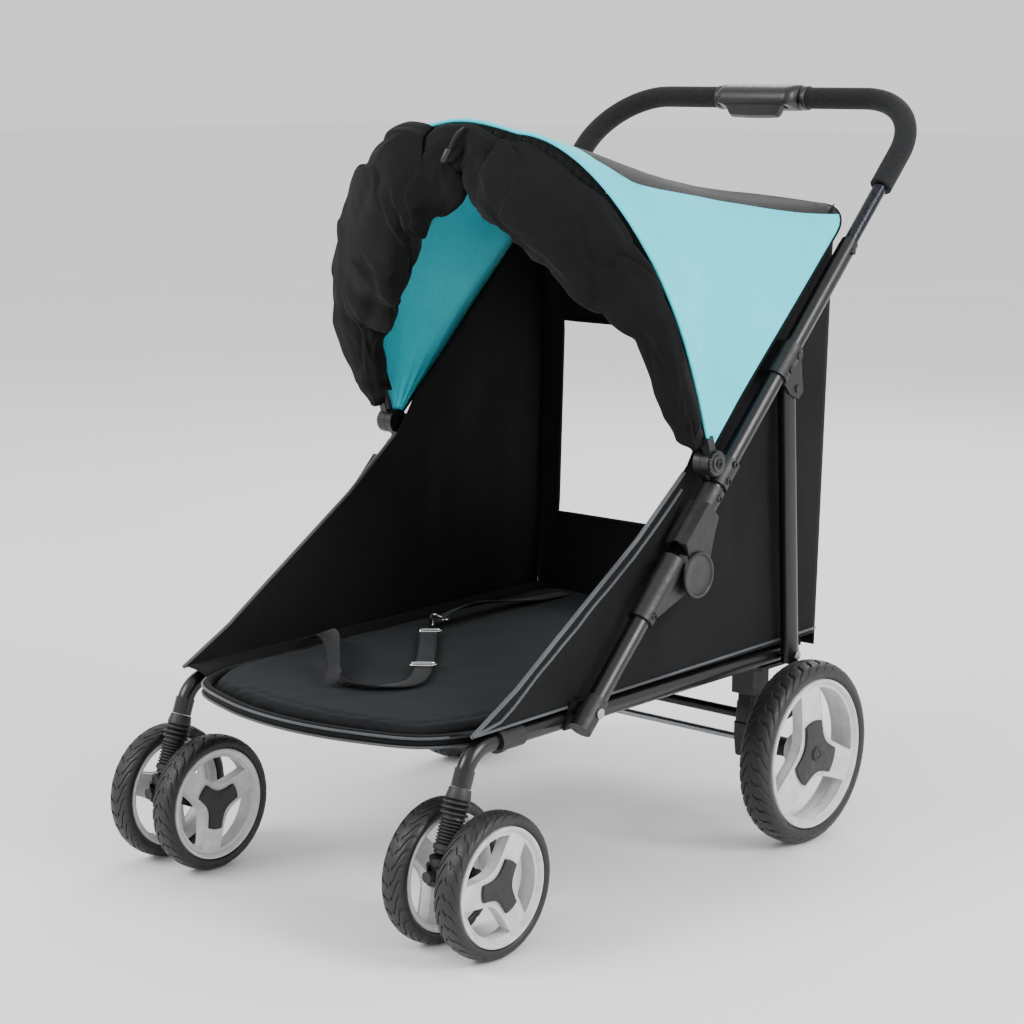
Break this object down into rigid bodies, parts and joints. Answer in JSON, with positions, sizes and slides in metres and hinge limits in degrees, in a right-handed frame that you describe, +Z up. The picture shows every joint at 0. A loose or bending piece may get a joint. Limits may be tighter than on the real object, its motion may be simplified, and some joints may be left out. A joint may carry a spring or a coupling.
{
  "type": "pet stroller",
  "caption": "Folding pet stroller with a fabric cabin, fan canopy, adjustable push handle, sprung twin front casters and fixed rear wheels with a foot brake.",
  "frame": {"origin": "on the floor, midway between the front wheels' front and the grip's back, on the mid plane", "axes": "+Z up, front towards -Y, +X to the right of somebody who looks along +Y"},
  "size_m": [0.67, 1.0345, 1.0096],
  "materials": {
    "black_tube": "gloss black powder coat",
    "grey_tube": "satin dark grey",
    "zinc_steel": "zinc plated",
    "black_plastic": "moulded, fine texture",
    "gloss_plastic": "polished",
    "rim_plastic": "satin light grey",
    "tyre_rubber": "moulded tread",
    "foam": "closed-cell foam",
    "black_cloth": "woven polyester",
    "blue_cloth": "woven polyester",
    "mat_cloth": "padded woven polyester",
    "webbing": "flat webbing",
    "nickel": "nickel plated"
  },
  "bodies": {
    "chassis": {"side_rails": "black_tube", "rail_collars": "black_plastic", "pivot_brackets": "black_plastic", "pivot_pins": "zinc_steel", "rear_spring_sleeves": "black_plastic", "floor_board": "black_cloth", "floor_mat": "mat_cloth", "side_panels": "black_cloth", "rear_wall": "black_cloth", "tether_strap": "webbing", "tether_hardware": "nickel", "front_bellows": "black_plastic", "front_springs": "zinc_steel", "rear_springs": "zinc_steel"},
    "rear_axle": {"rear_axle_blocks": "black_plastic", "rear_axle_rod": "zinc_steel"},
    "brake": {"brake_bar": "black_tube"},
    "lower_frame": {"lower_tubes": "black_tube", "lower_end_caps": "black_plastic", "lower_fold_sleeves": "black_plastic"},
    "upper_frame": {"upper_tubes": "black_tube", "fold_housings": "black_plastic", "fold_medallions": "gloss_plastic", "leg_brackets": "black_plastic", "canopy_hinge_bases": "black_plastic", "canopy_shell": "blue_cloth"},
    "legs": {"rear_legs": "black_tube"},
    "handle": {"handle_tube": "grey_tube", "foam_grip": "foam", "console": "black_plastic"},
    "trigger": {"fold_trigger": "black_plastic"},
    "canopy": {"canopy_bows": "black_plastic", "cover_roll": "black_cloth"},
    "button_right": {"height_button_right": "black_plastic"},
    "rear_wheel_right": {"rear_tyre_right": "tyre_rubber", "rear_rim_right": "rim_plastic", "rear_cap_right": "black_plastic"},
    "strut_right": {"front_stem_right": "black_plastic"},
    "caster_right": {"caster_fork_right": "black_plastic"},
    "swivel_lock_right": {"swivel_lock_right": "black_plastic"},
    "front_wheel_right_outer": {"front_tyre_right_outer": "tyre_rubber", "front_rim_right_outer": "rim_plastic", "front_cap_right_outer": "black_plastic"},
    "front_wheel_right_inner": {"front_tyre_right_inner": "tyre_rubber", "front_rim_right_inner": "rim_plastic", "front_cap_right_inner": "black_plastic"},
    "button_left": {"height_button_left": "black_plastic"},
    "rear_wheel_left": {"rear_tyre_left": "tyre_rubber", "rear_rim_left": "rim_plastic", "rear_cap_left": "black_plastic"},
    "strut_left": {"front_stem_left": "black_plastic"},
    "caster_left": {"caster_fork_left": "black_plastic"},
    "swivel_lock_left": {"swivel_lock_left": "black_plastic"},
    "front_wheel_left_outer": {"front_tyre_left_outer": "tyre_rubber", "front_rim_left_outer": "rim_plastic", "front_cap_left_outer": "black_plastic"},
    "front_wheel_left_inner": {"front_tyre_left_inner": "tyre_rubber", "front_rim_left_inner": "rim_plastic", "front_cap_left_inner": "black_plastic"}
  },
  "joints": [
    {"name": "frame_fold", "type": "hinge", "parent": "chassis", "child": "lower_frame", "pos_m": [0, -0.23581, 0.2599], "axis": [1, 0, 0], "range_deg": [0, 130], "deforming": ["side_panels", "rear_wall"]},
    {"name": "knee_fold", "type": "hinge", "parent": "lower_frame", "child": "upper_frame", "pos_m": [0, -0.04476, 0.39818], "axis": [1, 0, 0], "range_deg": [-168, 0]},
    {"name": "leg_fold", "type": "hinge", "parent": "chassis", "child": "legs", "pos_m": [0, 0.19999, 0.25], "axis": [1, 0, 0], "range_deg": [0, 71]},
    {"name": "handle_slide", "type": "slide", "parent": "upper_frame", "child": "handle", "axis": [0, 0.7096, 0.7046], "range_m": [-0.085, 0]},
    {"name": "trigger_squeeze", "type": "slide", "parent": "handle", "child": "trigger", "axis": [0, 0, 1], "range_m": [0, 0.007], "stiffness_N_per_m": 700, "springref_m": -0.004},
    {"name": "canopy_turn", "type": "hinge", "parent": "upper_frame", "child": "canopy", "pos_m": [0, -0.0022, 0.53981], "axis": [1, 0, 0], "range_deg": [-50, 0], "deforming": ["canopy_shell"]},
    {"name": "rear_suspension", "type": "slide", "parent": "chassis", "child": "rear_axle", "axis": [0, 0, 1], "range_m": [0, 0.01], "stiffness_N_per_m": 9000, "springref_m": -0.015, "deforming": ["rear_springs"]},
    {"name": "brake_press", "type": "hinge", "parent": "rear_axle", "child": "brake", "pos_m": [0, 0.17999, 0.159], "axis": [1, 0, 0], "range_deg": [-20, 0]},
    {"name": "height_button_right_press", "type": "slide", "parent": "upper_frame", "child": "button_right", "axis": [-1, 0, 0], "range_m": [0, 0.004], "stiffness_N_per_m": 500, "springref_m": -0.003},
    {"name": "rear_wheel_right_spin", "type": "hinge", "parent": "rear_axle", "child": "rear_wheel_right", "pos_m": [0.312, 0.17999, 0.125], "axis": [1, 0, 0], "continuous": true},
    {"name": "front_suspension_right", "type": "slide", "parent": "chassis", "child": "strut_right", "axis": [0, 0.3584, 0.9336], "range_m": [0, 0.012], "stiffness_N_per_m": 5000, "springref_m": -0.016, "deforming": ["front_bellows", "front_springs"]},
    {"name": "caster_right_swivel", "type": "hinge", "parent": "strut_right", "child": "caster_right", "pos_m": [0.248, -0.47101, 0.11], "axis": [0, 0, 1], "continuous": true},
    {"name": "swivel_lock_right_slide", "type": "slide", "parent": "caster_right", "child": "swivel_lock_right", "axis": [0, 0, 1], "range_m": [0, 0.005]},
    {"name": "front_wheel_right_outer_spin", "type": "hinge", "parent": "caster_right", "child": "front_wheel_right_outer", "pos_m": [0.29, -0.42601, 0.0895], "axis": [1, 0, 0], "continuous": true},
    {"name": "front_wheel_right_inner_spin", "type": "hinge", "parent": "caster_right", "child": "front_wheel_right_inner", "pos_m": [0.206, -0.42601, 0.0895], "axis": [1, 0, 0], "continuous": true},
    {"name": "height_button_left_press", "type": "slide", "parent": "upper_frame", "child": "button_left", "axis": [1, 0, 0], "range_m": [0, 0.004], "stiffness_N_per_m": 500, "springref_m": -0.003},
    {"name": "rear_wheel_left_spin", "type": "hinge", "parent": "rear_axle", "child": "rear_wheel_left", "pos_m": [-0.312, 0.17999, 0.125], "axis": [1, 0, 0], "continuous": true},
    {"name": "front_suspension_left", "type": "slide", "parent": "chassis", "child": "strut_left", "axis": [0, 0.3584, 0.9336], "range_m": [0, 0.012], "stiffness_N_per_m": 5000, "springref_m": -0.016, "deforming": ["front_bellows", "front_springs"]},
    {"name": "caster_left_swivel", "type": "hinge", "parent": "strut_left", "child": "caster_left", "pos_m": [-0.248, -0.47101, 0.11], "axis": [0, 0, 1], "continuous": true},
    {"name": "swivel_lock_left_slide", "type": "slide", "parent": "caster_left", "child": "swivel_lock_left", "axis": [0, 0, 1], "range_m": [0, 0.005]},
    {"name": "front_wheel_left_outer_spin", "type": "hinge", "parent": "caster_left", "child": "front_wheel_left_outer", "pos_m": [-0.29, -0.42601, 0.0895], "axis": [1, 0, 0], "continuous": true},
    {"name": "front_wheel_left_inner_spin", "type": "hinge", "parent": "caster_left", "child": "front_wheel_left_inner", "pos_m": [-0.206, -0.42601, 0.0895], "axis": [1, 0, 0], "continuous": true}
  ],
  "couplings": [
    {"joint": "knee_fold", "follows": "frame_fold", "ratio": -1.2911},
    {"joint": "leg_fold", "follows": "frame_fold", "ratio": 0.5437}
  ]
}
